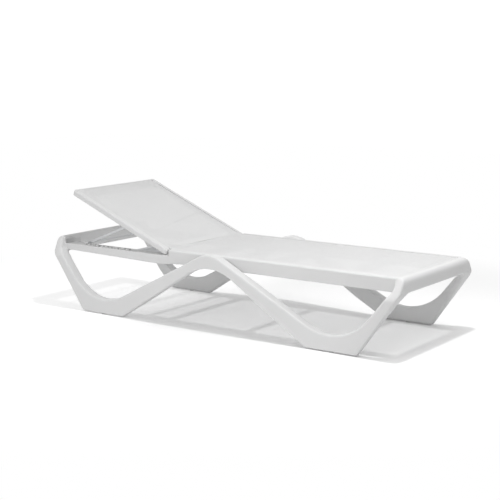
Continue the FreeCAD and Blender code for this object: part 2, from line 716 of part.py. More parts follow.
rail_inner = P.wave_inner - P.seat_rail_width
beam("head_beam", -P.beam_head, P.beam_wide, P.beam_under, P.beam_top - 3, rail_inner)
beam("lumbar_beam", -P.beam_middle, P.beam_wide, P.beam_under, P.beam_top, rail_inner)
beam("hip_beam", P.beam_middle, P.beam_wide, P.beam_under, P.beam_top, rail_inner)
beam("calf_beam", P.beam_foot, P.beam_wide, P.beam_under, P.beam_top, rail_inner)
sling_bed = P.seat_top - P.sling_rebate
beam("foot_batten", P.rail_face_x - P.batten_wide * 0.5, P.batten_wide, P.batten_under, sling_bed, rail_inner)

# the sling on the seat and on the backrest, and the rods that hold its hems in their grooves
seat_end_x = P.hinge_x - P.seat_gap
seat_sling = box("SeatSling", -seat_end_x, P.rail_face_x, -P.sling_half, P.sling_half, sling_bed,
                 sling_bed + P.sling_thick)
keep(seat_sling, "seat_sling")


def keder(name, x0, x1):
    """A hem rod in the right-hand groove, drawn flat."""
    x0, x1 = as_size(x0), as_size(x1)
    obj = doc.addObject("Part::Cylinder", name)
    bind(obj, "Radius", P.keder_radius)
    bind(obj, "Height", x1 - x0)
    obj.Placement = FreeCAD.Placement(Vector(), FreeCAD.Rotation(Vector(0, 1, 0), 90))
    place(obj, x0, -P.sling_half + P.groove_wide * 0.5, P.seat_top - P.groove_deep + P.keder_radius)
    return obj


right_seat_keder = keep(keder("RightSeatKeder", -seat_end_x + 3, P.rail_face_x - 3), "right_seat_hem_rod")
mirrored(right_seat_keder, "left_seat_hem_rod")

# the hinge: a plate and a pin on each seat rail, a bush in each knuckle of the backrest
knuckle_outer = P.back_half - P.lip_wide
plate = box("HingePlateBlock", -P.hinge_x, -P.hinge_x + P.plate_long, -rail_inner, -rail_inner + P.plate_thick,
            P.hinge_z - P.knuckle_radius, P.hinge_z + P.plate_thick)
eye = rod("HingePlateEye", P.knuckle_radius, -P.hinge_x, -rail_inner, -rail_inner + P.plate_thick, P.hinge_z)
pin_hole = rod("HingePlateHole", P.pin_radius, -P.hinge_x, -rail_inner - 1,
               -rail_inner + P.plate_thick + 1, P.hinge_z)
right_plate = combine("Cut", "RightHingePlate", combine("Fuse", "HingePlateBlank", plate, eye), pin_hole,
                      plate_screws)
keep(right_plate, "right_hinge_plate")
mirrored(right_plate, "left_hinge_plate")
pin_shaft = rod("HingePinShaft", P.pin_radius, -P.hinge_x, -knuckle_outer + 2,
                -rail_inner + P.plate_thick, P.hinge_z)
pin_head = rod("HingePinHead", P.pin_radius + 3, -P.hinge_x, -rail_inner + P.plate_thick,
               -rail_inner + P.plate_thick + 3, P.hinge_z)
right_pin = combine("Fuse", "RightHingePin", pin_shaft, pin_head)
keep(right_pin, "right_hinge_pin")
mirrored(right_pin, "left_hinge_pin")
bush_solid = rod("HingeBushSolid", P.bush_radius, -P.hinge_x, -knuckle_outer, -P.back_inner, P.hinge_z)
bush_hole = rod("HingeBushHole", P.pin_radius + P.running_gap, -P.hinge_x, -knuckle_outer - 1, -P.back_inner,
                P.hinge_z)
bush = combine("Cut", "HingeBushDrawn", bush_solid, bush_hole)

# the backrest
pair(back_side_rail(), "back_rail", swung)
swung(back_top_rail(), "back_top_rail")
lower = box("BackLowerRailBlock", -P.hinge_x - 44, -P.hinge_x - 14, -P.back_inner, P.back_inner,
            P.back_plate_under - 8, sling_bed)
swung(lower, "back_lower_rail")
pair(bush, "hinge_bush", swung)
back_sling = box("BackSling", -P.back_tip + 12, -P.hinge_x - 1, -P.sling_half, P.sling_half, sling_bed,
                 sling_bed + P.sling_thick)
swung(back_sling, "back_sling")
pair(keder("RightBackKeder", -P.back_tip + P.back_top_deep + 2, -P.hinge_x - 3), "back_hem_rod", swung)
top_keder = rod("TopKeder", P.keder_radius, -P.back_tip + 15, -P.sling_half + 8, P.sling_half - 8,
                P.seat_top - P.groove_deep + P.keder_radius)
swung(top_keder, "back_top_hem_rod")
pair(stay_lugs(), "stay_lugs", swung)
stay_pin = rod("StayPinDrawn", P.stay_pin_radius, -P.hinge_x - P.stay_reach, -P.arm_outer - 1 - P.lug_thick,
               -P.arm_outer + P.arm_wide + 1 + P.lug_thick, P.hinge_z)
pair(stay_pin, "stay_pin", swung)

# the stay
pair(stay_arm(), "stay_arm", swung, pivot_at_stay=True)
stay_bar = rod("StayBarDrawn", P.stay_bar_radius, -P.hinge_x - P.stay_reach * 2, -P.stay_bar_half,
               P.stay_bar_half, P.hinge_z)
swung(stay_bar, "stay_bar", pivot_at_stay=True)

# floor glides, one under each foot
for end, sign in (("head", -1), ("foot", 1)):
    for side, across in (("right", -1), ("left", 1)):
        middle_x = (P.foot_inner + P.foot_outer) * 0.5 * sign
        middle_y = (P.half_width + P.sole_inner) * 0.5 * across
        glide = post(f"Glide_{end}_{side}", P.glide_radius, middle_x, middle_y, 0, P.foot_lift)
        keep(glide, f"{end}_{side}_glide")

# ---- check and write ----
doc.recompute()
bad = [o.Label for o in doc.Objects if "Invalid" in o.State or "Error" in o.State]
bad += [o.Label for o in nodes if o.Shape.isNull() or not o.Shape.isValid()]
if bad:
    raise RuntimeError(f"these did not build: {bad}")
os.makedirs("parts", exist_ok=True)
for old in os.listdir("parts"):
    os.remove(os.path.join("parts", old))
for obj in nodes:
    obj.Shape.exportStep(os.path.join("parts", f"{obj.Label}.step"))
print(f"{len(nodes)} parts, {sum(len(o.Shape.Solids) for o in nodes)} solids")
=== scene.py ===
# %% [markdown]
# # A reclining sun lounger in white resin and woven mesh
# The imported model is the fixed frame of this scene: every moulding, pin and beam is already where it
# belongs, in metres, with +Z up, the foot end at +X and the right-hand side at -Y. This notebook gives the
# mouldings their rounded edges and their finish, weaves the sling that is stretched over seat and backrest,
# and sets up a plain bright studio.

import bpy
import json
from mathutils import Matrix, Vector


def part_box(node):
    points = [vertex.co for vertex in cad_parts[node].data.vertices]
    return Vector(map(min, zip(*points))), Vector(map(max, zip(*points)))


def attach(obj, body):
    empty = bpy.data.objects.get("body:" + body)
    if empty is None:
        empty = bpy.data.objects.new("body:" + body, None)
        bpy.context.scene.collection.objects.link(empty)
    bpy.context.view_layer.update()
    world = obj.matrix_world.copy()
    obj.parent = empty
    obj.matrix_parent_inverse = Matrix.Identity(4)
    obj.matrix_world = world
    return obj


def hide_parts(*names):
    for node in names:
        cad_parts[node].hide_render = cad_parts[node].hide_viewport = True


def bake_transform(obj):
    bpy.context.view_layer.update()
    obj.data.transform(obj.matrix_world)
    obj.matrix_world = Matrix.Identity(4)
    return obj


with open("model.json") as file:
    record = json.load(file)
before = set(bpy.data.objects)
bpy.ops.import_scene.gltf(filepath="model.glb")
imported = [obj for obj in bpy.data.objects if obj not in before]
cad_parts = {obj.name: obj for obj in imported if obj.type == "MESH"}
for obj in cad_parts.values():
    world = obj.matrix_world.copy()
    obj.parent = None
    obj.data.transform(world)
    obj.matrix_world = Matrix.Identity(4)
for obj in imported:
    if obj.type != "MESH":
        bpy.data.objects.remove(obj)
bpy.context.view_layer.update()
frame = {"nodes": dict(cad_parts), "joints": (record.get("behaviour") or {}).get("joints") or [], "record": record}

# %% Modules and small helpers
import json
import math

import bmesh
import bpy
from mathutils import Vector

nodes = frame["nodes"]
MM = 0.001


def smoothstep(share):
    """0 before 0, 1 after 1, and a smooth rise between them."""
    share = min(max(share, 0.0), 1.0)
    return share * share * (3 - 2 * share)


def new_piece(name, vertices, faces, uvs=None):
    """A mesh object made from points and faces; uvs holds one pair of metres for each point."""
    mesh = bpy.data.meshes.new(name)
    mesh.from_pydata(vertices, [], faces)
    if uvs is not None:
        layer = mesh.uv_layers.new(name="cloth")
        for loop in mesh.loops:
            layer.data[loop.index].uv = uvs[loop.vertex_index]
    mesh.validate()
    piece = bpy.data.objects.new(name, mesh)
    bpy.context.scene.collection.objects.link(piece)
    return piece


# %% [markdown]
# ## Camera
# A long lens from nearly six metres away keeps the long frame nearly parallel, as in a catalogue view. The
# camera looks down by just under ten degrees from the foot end's near side. Its place and the direction
# behind it are given outright, so that its aim doesn't depend on any constraint.

# %% Camera
CAMERA_PLACE = Vector((3.193, -4.582, 1.278))
CAMERA_BACK = Vector((0.5663, -0.8069, 0.1678))
CAMERA_LENS = 86.46

camera_data = bpy.data.cameras.new("camera")
camera_data.lens = CAMERA_LENS
camera_data.sensor_width = 36
camera = bpy.data.objects.new("camera", camera_data)
camera.location = CAMERA_PLACE
camera.rotation_mode = "QUATERNION"
camera.rotation_quaternion = (-CAMERA_BACK).to_track_quat("-Z", "Y")
bpy.context.scene.collection.objects.link(camera)
bpy.context.scene.camera = camera

# %% [markdown]
# ## Node helpers
# Materials are node trees. These helpers add a node, set its sockets and join it to others, so that each
# material below reads as a short list. A socket is given either a number or another node's output.

# %% Node helpers
def add_node(tree, kind, **settings):
    """A node in a tree, with its properties set."""
    node = tree.nodes.new(kind)
    for key, value in settings.items():
        setattr(node, key, value)
    return node


def feed(tree, node, **sockets):
    """Sets sockets by name, with spaces as underscores, to a number or to another node's output."""
    for key, value in sockets.items():
        socket = node.inputs[key.replace("_", " ")]
        if isinstance(value, bpy.types.NodeSocket):
            tree.links.new(value, socket)
        else:
            socket.default_value = value
    return node


def calculate(tree, operation, first, second=0.0, clamp=False):
    """One arithmetic step; returns its output."""
    node = add_node(tree, "ShaderNodeMath", operation=operation, use_clamp=clamp)
    for socket, value in zip(node.inputs, (first, second)):
        if isinstance(value, bpy.types.NodeSocket):
            tree.links.new(value, socket)
        else:
            socket.default_value = value
    return node.outputs[0]


def ramp(tree, value, start, end, low=0.0, high=1.0):
    """A smooth change from low at start to high at end; returns its output."""
    node = feed(tree, add_node(tree, "ShaderNodeMapRange", interpolation_type="SMOOTHSTEP"),
                Value=value, From_Min=start, From_Max=end, To_Min=low, To_Max=high)
    return node.outputs["Result"]


MIX_SHARE, MIX_FIRST, MIX_SECOND, MIX_COLOUR = 0, 6, 7, 2


def two_tones(tree, share, colour, low, high):
    """A colour that drifts between two strengths of itself, never above 1; returns its output."""
    mix = add_node(tree, "ShaderNodeMix", data_type="RGBA")
    tree.links.new(share, mix.inputs[MIX_SHARE])
    mix.inputs[MIX_FIRST].default_value = (*[min(c * low, 1) for c in colour], 1)
    mix.inputs[MIX_SECOND].default_value = (*[min(c * high, 1) for c in colour], 1)
    return mix.outputs[MIX_COLOUR]


def new_group(name, takes, gives):
    """A shader node group with named sockets: (name, kind, default) going in, (name, kind) coming out."""
    tree = bpy.data.node_groups.new(name, "ShaderNodeTree")
    for socket_name, kind, default in takes:
        socket = tree.interface.new_socket(socket_name, in_out="INPUT", socket_type=kind)
        if default is not None:
            socket.default_value = default
    for socket_name, kind in gives:
        tree.interface.new_socket(socket_name, in_out="OUTPUT", socket_type=kind)
    return tree, tree.nodes.new("NodeGroupInput"), tree.nodes.new("NodeGroupOutput")


def use_group(tree, group, **sockets):
    """Places a group in a material with its own values."""
    node = add_node(tree, "ShaderNodeGroup")
    node.node_tree = group
    return feed(tree, node, **sockets)


def new_material(name):
    """An empty node material with a Principled BSDF; returns the material, its tree and the shader."""
    material = bpy.data.materials.new(name)
    material.use_nodes = True
    tree = material.node_tree
    return material, tree, tree.nodes["Principled BSDF"]


# %% [markdown]
# ## Shared effect: moulded grain
# Injection-moulded resin isn't smooth. The steel mould is etched, so the skin has a fine grain that takes
# the edge off every reflection, and the wall sinks a little where the plastic cooled unevenly. Two noises
# of very different size give both, and one group serves every plastic piece.

# %% Moulded grain
ETCHED_SHARE = 0.3
grain, grain_in, grain_out = new_group(
    "moulded_grain",
    [("Grain size", "NodeSocketFloat", 0.0012), ("Sink size", "NodeSocketFloat", 0.12)],
    [("Height", "NodeSocketFloat"), ("Tone", "NodeSocketFloat")],
)
grain_place = add_node(grain, "ShaderNodeTexCoord").outputs["Object"]
etched = feed(grain, add_node(grain, "ShaderNodeTexNoise"), Vector=grain_place, Detail=2.0, Roughness=0.6,
              Scale=calculate(grain, "DIVIDE", 1.0, grain_in.outputs["Grain size"]))
sunk = feed(grain, add_node(grain, "ShaderNodeTexNoise"), Vector=grain_place, Detail=1.0, Roughness=0.4,
            Scale=calculate(grain, "DIVIDE", 1.0, grain_in.outputs["Sink size"]))
etched_part = calculate(grain, "MULTIPLY", etched.outputs["Fac"], ETCHED_SHARE)
sunk_part = calculate(grain, "MULTIPLY", sunk.outputs["Fac"], 1.0 - ETCHED_SHARE)
grain.links.new(calculate(grain, "ADD", etched_part, sunk_part), grain_out.inputs["Height"])
grain.links.new(sunk.outputs["Fac"], grain_out.inputs["Tone"])
print("moulded_grain:", len(grain.nodes), "nodes")

# %% [markdown]
# ## Shared effect: edge rub
# Edges are where hands, towels and other loungers touch. The curvature of the surface finds them, and a
# noise breaks the line up so that the rub isn't even. Each material decides what the mask does: the
# plastics use it to make rubbed edges a little glossier.

# %% Edge rub
rub, rub_in, rub_out = new_group(
    "edge_rub",
    [("Spread", "NodeSocketFloat", 0.05), ("Patch size", "NodeSocketFloat", 0.02)],
    [("Mask", "NodeSocketFloat")],
)
rub_place = add_node(rub, "ShaderNodeTexCoord").outputs["Object"]
sharpness = calculate(rub, "SUBTRACT", add_node(rub, "ShaderNodeNewGeometry").outputs["Pointiness"], 0.5)
edge = calculate(rub, "DIVIDE", sharpness, rub_in.outputs["Spread"], clamp=True)
patches = feed(rub, add_node(rub, "ShaderNodeTexNoise"), Vector=rub_place, Detail=3.0,
               Scale=calculate(rub, "DIVIDE", 1.0, rub_in.outputs["Patch size"]))
rub.links.new(calculate(rub, "MULTIPLY", edge, patches.outputs["Fac"]), rub_out.inputs["Mask"])
print("edge_rub:", len(rub.nodes), "nodes")

# %% [markdown]
# ## Plastics
# One function makes every plastic here, because they differ only in tone, gloss and grain: the white resin
# of the mouldings, the nylon of the hinge bushes, the cord in the hems and the soft grey glides.

# %% Plastics
SINK_SIZE = 0.12
RUB_SPREAD = 0.06
RUB_PATCH = 0.02
TONE_DRIFT = 0.015
PLASTIC_IOR = 1.48


def plastic(name, colour, rough_rubbed, rough_plain, grain_size, bump):
    """A moulded plastic. Its tone drifts a little over the sinks, and rubbed edges are slightly glossier."""
    material, tree, shader = new_material(name)
    skin = use_group(tree, grain, Grain_size=grain_size, Sink_size=SINK_SIZE)
    wear = use_group(tree, rub, Spread=RUB_SPREAD, Patch_size=RUB_PATCH)
    tone = two_tones(tree, skin.outputs["Tone"], colour, 1 - TONE_DRIFT, 1 + TONE_DRIFT)
    drop = calculate(tree, "MULTIPLY", wear.outputs["Mask"], rough_plain - rough_rubbed)
    height = feed(tree, add_node(tree, "ShaderNodeBump"), Height=skin.outputs["Height"], Strength=bump,
                  Distance=0.4 * MM)
    feed(tree, shader, Base_Color=tone, Roughness=calculate(tree, "SUBTRACT", rough_plain, drop),
         Normal=height.outputs["Normal"])
    shader.inputs["IOR"].default_value = PLASTIC_IOR
    return material


WHITE = (0.705, 0.705, 0.705)
white_resin = plastic("white_resin", WHITE, 0.34, 0.50, 1.2 * MM, 0.30)
nylon = plastic("bush_nylon", (0.62, 0.62, 0.60), 0.30, 0.42, 0.8 * MM, 0.15)
hem_cord = plastic("hem_cord", (0.58, 0.59, 0.60), 0.40, 0.60, 1.0 * MM, 0.25)
glide_rubber = plastic("glide_rubber", (0.55, 0.55, 0.55), 0.60, 0.80, 1.6 * MM, 0.45)
print("plastics:", [m.name for m in (white_resin, nylon, hem_cord, glide_rubber)])

# %% [markdown]
# ## Metals
# The stay and the beams are steel with a white powder coat, whose skin has the soft pebble of an orange
# peel. Pins, plates and screws are zinc plated, and the plating shows fine scratches from the machine.

# %% Metals
COAT_DARKER = 0.97
COAT_ROUGH = 0.38
PLATE_DARKER = 0.85
PLATE_ROUGH = 0.22
SCRATCH_ROUGH = 0.25
PEBBLE = 2.5 * MM


def coated_metal(name, colour, pebble):
    """Powder coat over steel: a dielectric skin with an orange-peel bump."""
    material, tree, shader = new_material(name)
    place = add_node(tree, "ShaderNodeTexCoord").outputs["Object"]
    peel = feed(tree, add_node(tree, "ShaderNodeTexVoronoi", feature="SMOOTH_F1"), Vector=place,
                Scale=1.0 / pebble, Smoothness=0.8)
    skin = use_group(tree, grain, Grain_size=pebble * 0.5, Sink_size=0.05)
    height = feed(tree, add_node(tree, "ShaderNodeBump"), Height=peel.outputs["Distance"], Strength=0.25,
                  Distance=0.3 * MM)
    tone = two_tones(tree, skin.outputs["Tone"], colour, COAT_DARKER, 1.0)
    feed(tree, shader, Base_Color=tone, Normal=height.outputs["Normal"], Roughness=COAT_ROUGH)
    return material


def plated_metal(name, colour):
    """Zinc plating: bright metal with scratches drawn out along X."""
    material, tree, shader = new_material(name)
    place = add_node(tree, "ShaderNodeTexCoord").outputs["Object"]
    drawn = feed(tree, add_node(tree, "ShaderNodeMapping"), Vector=place, Scale=(60.0, 2200.0, 2200.0))
    scratch = feed(tree, add_node(tree, "ShaderNodeTexNoise"), Vector=drawn.outputs["Vector"], Scale=1.0,
                   Detail=3.0)
    scratched = calculate(tree, "MULTIPLY", scratch.outputs["Fac"], SCRATCH_ROUGH)
    rough = calculate(tree, "ADD", scratched, PLATE_ROUGH)
    height = feed(tree, add_node(tree, "ShaderNodeBump"), Height=scratch.outputs["Fac"], Strength=0.2,
                  Distance=0.05 * MM)
    tone = two_tones(tree, scratch.outputs["Fac"], colour, PLATE_DARKER, 1.0)
    feed(tree, shader, Base_Color=tone, Roughness=rough, Normal=height.outputs["Normal"], Metallic=1.0)
    return material


coated_stay = coated_metal("stay_metal", (0.68, 0.69, 0.70), PEBBLE)
coated_beam = coated_metal("beam_metal", (0.66, 0.67, 0.68), PEBBLE)
zinc = plated_metal("steel_fittings", (0.66, 0.67, 0.68))
print("metals:", [m.name for m in (coated_stay, coated_beam, zinc)])

# %% [markdown]
# ## Sling mesh
# The sling is woven from polyester threads coated in vinyl. Each thread passes over one and under the next,
# and small square holes stay open between them, so that light and air come through. The weave is worked out
# from the cloth's own measure in metres, across and along, which stays true where the cloth bends.

# %% Weave pattern
THREAD_RISE = 0.75
CROSSING_RISE = 0.25
HOLE_EDGE = 12.0
weave, weave_in, weave_out = new_group(
    "open_weave",
    [("Across", "NodeSocketFloat", 0.0), ("Along", "NodeSocketFloat", 0.0),
     ("Pitch", "NodeSocketFloat", 0.0018), ("Openness", "NodeSocketFloat", 0.4)],
    [("Height", "NodeSocketFloat"), ("Cover", "NodeSocketFloat"), ("Thread", "NodeSocketFloat")],
)


def thread_wave(direction):
    """The signed wave of one set of threads: 1 or -1 along the middle of each thread, 0 between two."""
    count = calculate(weave, "DIVIDE", weave_in.outputs[direction], weave_in.outputs["Pitch"])
    return calculate(weave, "SINE", calculate(weave, "MULTIPLY", count, math.pi))


warp = thread_wave("Across")
weft = thread_wave("Along")
warp_round = calculate(weave, "ABSOLUTE", warp)
weft_round = calculate(weave, "ABSOLUTE", weft)
over_under = calculate(weave, "MULTIPLY", calculate(weave, "MULTIPLY", warp, weft), CROSSING_RISE)
warp_height = calculate(weave, "MULTIPLY", warp_round, calculate(weave, "ADD", THREAD_RISE, over_under))
weft_height = calculate(weave, "MULTIPLY", weft_round, calculate(weave, "SUBTRACT", THREAD_RISE, over_under))
thread_height = calculate(weave, "MAXIMUM", warp_height, weft_height)
thread_here = calculate(weave, "MAXIMUM", warp_round, weft_round)
covered = calculate(weave, "SUBTRACT", thread_here, weave_in.outputs["Openness"])
weave.links.new(thread_height, weave_out.inputs["Height"])
cover = calculate(weave, "MULTIPLY", covered, HOLE_EDGE, clamp=True)
weave.links.new(cover, weave_out.inputs["Cover"])
weave.links.new(calculate(weave, "ADD", over_under, 0.5), weave_out.inputs["Thread"])
print("open_weave:", len(weave.nodes), "nodes")

# %% [markdown]
# The long edges are hemmed: the cloth is doubled there, so nothing shows through, and a line of stitches
# runs beside the fold. Pale threads pass some light on, which the shader doesn't do by itself. Here it is
# done with the light path: the threads let 44 percent of the shadow rays through, so the sling's shadow
# stays light and the beams under it show as darker bars. The vinyl coat has a soft sheen.

# %% Sling material
SLING_WHITE = (0.70, 0.70, 0.70)
WEAVE_PITCH = 1.8 * MM
WEAVE_OPENNESS = 0.30
HEM_INNER = 0.254
STITCH_LINE = 0.256
STITCH_LONG = 5 * MM
STITCH_HALF = 1.0 * MM
STITCH_SHARE = 0.72
HEM_RAISED = 1.5
STITCH_PRESSED = 2.0
STITCH_RAISED = 1.6
THREAD_SHADOW = 0.56
SLING_DARKER, SLING_LIGHTER = 0.94, 1.04


def sling_cloth(name):
    """The woven mesh with its doubled hems and their stitches."""
    material, tree, shader = new_material(name)
    cloth_place = add_node(tree, "ShaderNodeUVMap", uv_map="cloth").outputs["UV"]
    measure = feed(tree, add_node(tree, "ShaderNodeSeparateXYZ"), Vector=cloth_place)
    threads = use_group(tree, weave, Across=measure.outputs["X"], Along=measure.outputs["Y"],
                        Pitch=WEAVE_PITCH, Openness=WEAVE_OPENNESS)
    from_middle = calculate(tree, "ABSOLUTE", measure.outputs["X"])
    hem = calculate(tree, "GREATER_THAN", from_middle, HEM_INNER)
    from_line = calculate(tree, "ABSOLUTE", calculate(tree, "SUBTRACT", from_middle, STITCH_LINE))
    on_line = calculate(tree, "LESS_THAN", from_line, STITCH_HALF)
    step = calculate(tree, "FRACT", calculate(tree, "DIVIDE", measure.outputs["Y"], STITCH_LONG))
    stitch = calculate(tree, "MULTIPLY", on_line, calculate(tree, "LESS_THAN", step, STITCH_SHARE))
    slub = feed(tree, add_node(tree, "ShaderNodeTexNoise"), Vector=cloth_place, Scale=9.0, Detail=4.0)
    shade = calculate(tree, "ADD", calculate(tree, "MULTIPLY", threads.outputs["Thread"], 0.5),
                      calculate(tree, "MULTIPLY", slub.outputs["Fac"], 0.5))
    tone = two_tones(tree, shade, SLING_WHITE, SLING_DARKER, SLING_LIGHTER)
    raised = calculate(tree, "ADD", threads.outputs["Height"], calculate(tree, "MULTIPLY", hem, HEM_RAISED))
    pressed = calculate(tree, "SUBTRACT", raised, calculate(tree, "MULTIPLY", on_line, STITCH_PRESSED))
    sewn = calculate(tree, "ADD", pressed, calculate(tree, "MULTIPLY", stitch, STITCH_RAISED))
    height = feed(tree, add_node(tree, "ShaderNodeBump"), Height=sewn, Strength=0.6, Distance=0.4 * MM)
    shadow = calculate(tree, "MULTIPLY", add_node(tree, "ShaderNodeLightPath").outputs["Is Shadow Ray"],
                       1.0 - THREAD_SHADOW)
    solid = calculate(tree, "SUBTRACT", calculate(tree, "MAXIMUM", threads.outputs["Cover"], hem), shadow)
    feed(tree, shader, Base_Color=tone, Normal=height.outputs["Normal"], Roughness=0.55, Alpha=solid)
    shader.inputs["Sheen Weight"].default_value = 0.45
    shader.inputs["Sheen Roughness"].default_value = 0.30
    return material


sling_mesh = sling_cloth("sling_mesh")

# %% [markdown]
# ## Finish of the frame's own pieces
# Most pieces keep the frame's own meshes, because their shapes are already true: rails with a groove,
# toothed racks, pins, plates and glides. Each takes the finish of its material slot.

# %% Finishes
FINISHES = {
    "white_resin": white_resin, "hem_cord": hem_cord, "glide_rubber": glide_rubber, "bush_nylon": nylon,
    "stay_metal": coated_stay, "steel_fittings": zinc, "beam_metal": coated_beam, "sling_mesh": sling_mesh,
}
for part in frame["record"]["subparts"]:
    mesh = nodes[part["node"]].data
    mesh.materials.clear()
    mesh.materials.append(FINISHES[part["material_slot"]])

# %% [markdown]
# ## The four big mouldings
# The side frames and the cross rails flow into each other: on the real lounger every edge is softly
# rounded, and the corner where leg and rails meet is one soft form. A bevel can't follow edges that run out
# into one another, so this is done the way a clay model is: the four solids are melted into one skin by a
# voxel remesh, and twenty-two rounds of smoothing round every edge by the same amount and leave the flats
# flat. Short plugs stand in for the ends of the seat rails, so that the skin stays full where they butt
# against it. Afterwards the skin is cut back into the four mouldings, whose faces meet exactly.

# %% Melt the mouldings into one skin
VOXEL = 4.5 * MM
ROUNDS = 22
SIDES = ("right_side_frame", "left_side_frame")
RAILS = ("head_cross_rail", "foot_cross_rail")
WAVE_INNER = 0.308
PLUG_SHORT = 1.5 * MM
PLUG_CLEAR = 0.5 * MM
PLUG_LONG = 70 * MM
WELD = 0.01 * MM
RAIL_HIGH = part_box("right_seat_rail")[1]
END_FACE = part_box("foot_batten")[1].x
BLOCK_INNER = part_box("foot_cross_rail")[1].y
LEDGE_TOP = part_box("right_rack")[0].z + 4 * MM
LEDGE_UNDER = 0.286
SEAT_UNDER = 0.282
FLAT_FACE_FROM = 0.296


def add_block(skin, low, high):
    """A closed box added to a bmesh."""
    made = bmesh.ops.create_cube(skin, size=1.0)
    for vertex in made["verts"]:
        vertex.co = Vector([low[i] if vertex.co[i] < 0 else high[i] for i in range(3)])


def melted_skin():
    """The four mouldings and the plugs as one smooth closed mesh."""
    skin = bmesh.new()
    for name in SIDES + RAILS:
        skin.from_mesh(nodes[name].data)
    inner = -RAIL_HIGH.y
    outer = WAVE_INNER - PLUG_SHORT
    for low_y, high_y in ((inner, outer), (-outer, -inner)):
        add_block(skin, (END_FACE - PLUG_LONG, low_y, SEAT_UNDER), (END_FACE + MM, high_y, RAIL_HIGH.z))
        add_block(skin, (-END_FACE - MM, low_y, LEDGE_UNDER), (-END_FACE + PLUG_LONG, high_y, LEDGE_TOP))
    bmesh.ops.remove_doubles(skin, verts=skin.verts, dist=WELD)
    mesh = bpy.data.meshes.new("skin")
    skin.to_mesh(mesh)
    skin.free()
    blank = bpy.data.objects.new("skin_blank", mesh)
    bpy.context.scene.collection.objects.link(blank)
    melt = blank.modifiers.new("melt", "REMESH")
    melt.mode = "VOXEL"
    melt.voxel_size = VOXEL
    smooth = blank.modifiers.new("smooth", "SMOOTH")
    smooth.factor = 0.5
    smooth.iterations = ROUNDS
    finished = bpy.data.meshes.new_from_object(blank.evaluated_get(bpy.context.evaluated_depsgraph_get()))
    bpy.data.objects.remove(blank)
    return finished


skin_mesh = melted_skin()
print("skin:", len(skin_mesh.polygons), "faces")

# %% Cut the skin back into mouldings
def cut_at(part, place, normal, keep_front=False):
    """Cuts a bmesh along a plane. With keep_front, what lies behind the plane is removed."""
    everything = part.verts[:] + part.edges[:] + part.faces[:]
    bmesh.ops.bisect_plane(part, geom=everything, dist=1e-6, plane_co=place, plane_no=normal,
                           clear_inner=keep_front)


def close_cuts(part):
    """Caps the open loops left by a cut, with a sharp edge that keeps the cap out of the skin's shading."""
    open_edges = [edge for edge in part.edges if edge.is_boundary]
    for edge in open_edges:
        edge.smooth = False
    caps = bmesh.ops.holes_fill(part, edges=open_edges, sides=0)
    for face in caps["faces"]:
        face.smooth = False


def moulding(name, node, part):
    """Turns a cut of the skin into the piece that stands for one of the frame's mouldings."""
    for face in part.faces:
        face.smooth = True
    close_cuts(part)
    mesh = bpy.data.meshes.new(name)
    part.to_mesh(mesh)
    part.free()
    piece = bpy.data.objects.new(name, mesh)
    bpy.context.scene.collection.objects.link(piece)
    mesh.materials.append(white_resin)
    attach(piece, "frame")
    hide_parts(node)
    print(f"{name}: {len(mesh.polygons)} faces")
    return piece


def side_moulding(name, node, side):
    """One wave-shaped side frame; side is -1 on the right and 1 on the left."""
    part = bmesh.new()
    part.from_mesh(skin_mesh)
    cut_at(part, (0, side * BLOCK_INNER, 0), (0, side, 0), keep_front=True)
    plug_plane = WAVE_INNER - PLUG_CLEAR
    plug_side = -RAIL_HIGH.y - PLUG_SHORT
    for plane in (plug_plane, plug_side):
        cut_at(part, (0, side * plane, 0), (0, side, 0))
    for end in (-1, 1):
        cut_at(part, (end * END_FACE, 0, 0), (end, 0, 0))
    plugs = []
    for face in part.faces:
        middle = face.calc_center_median()
        under = SEAT_UNDER if middle.x > 0 else LEDGE_UNDER
        on_plug = abs(middle.y) > plug_side and middle.z > under - PLUG_SHORT
        between_cuts = abs(middle.x) < END_FACE and abs(middle.y) < plug_plane
        if between_cuts and (on_plug or middle.z > FLAT_FACE_FROM):
            plugs.append(face)
    bmesh.ops.delete(part, geom=plugs, context="FACES")
    return moulding(name, node, part)


def rail_moulding(name, node, end):
    """One cross rail; end is -1 at the head and 1 at the foot."""
    part = bmesh.new()
    part.from_mesh(skin_mesh)
    for side in (-1, 1):
        cut_at(part, (0, side * BLOCK_INNER, 0), (0, -side, 0), keep_front=True)
    cut_at(part, (0, 0, 0), (end, 0, 0), keep_front=True)
    return moulding(name, node, part)


side_moulding("right_side_moulding", "right_side_frame", -1)
side_moulding("left_side_moulding", "left_side_frame", 1)
rail_moulding("head_rail_moulding", "head_cross_rail", -1)
rail_moulding("foot_rail_moulding", "foot_cross_rail", 1)

# %% [markdown]
# ## The sling
# One length of mesh runs from the top of the backrest, over the hinge, to the foot end. Its long edges are
# hemmed round a cord that sits in a groove of the rails. It is built as a grid of points measured on the
# flat cloth, which is then carried to its place: flat over the seat, along a smooth bend near the hinge,
# and straight again up the backrest. A grid keeps the weave square, and a stretched sling has no folds that
# would need a simulation. It gets a shallow sag between the rails, and a few soft pulls beside the hinge,
# where the cloth takes up the bend.

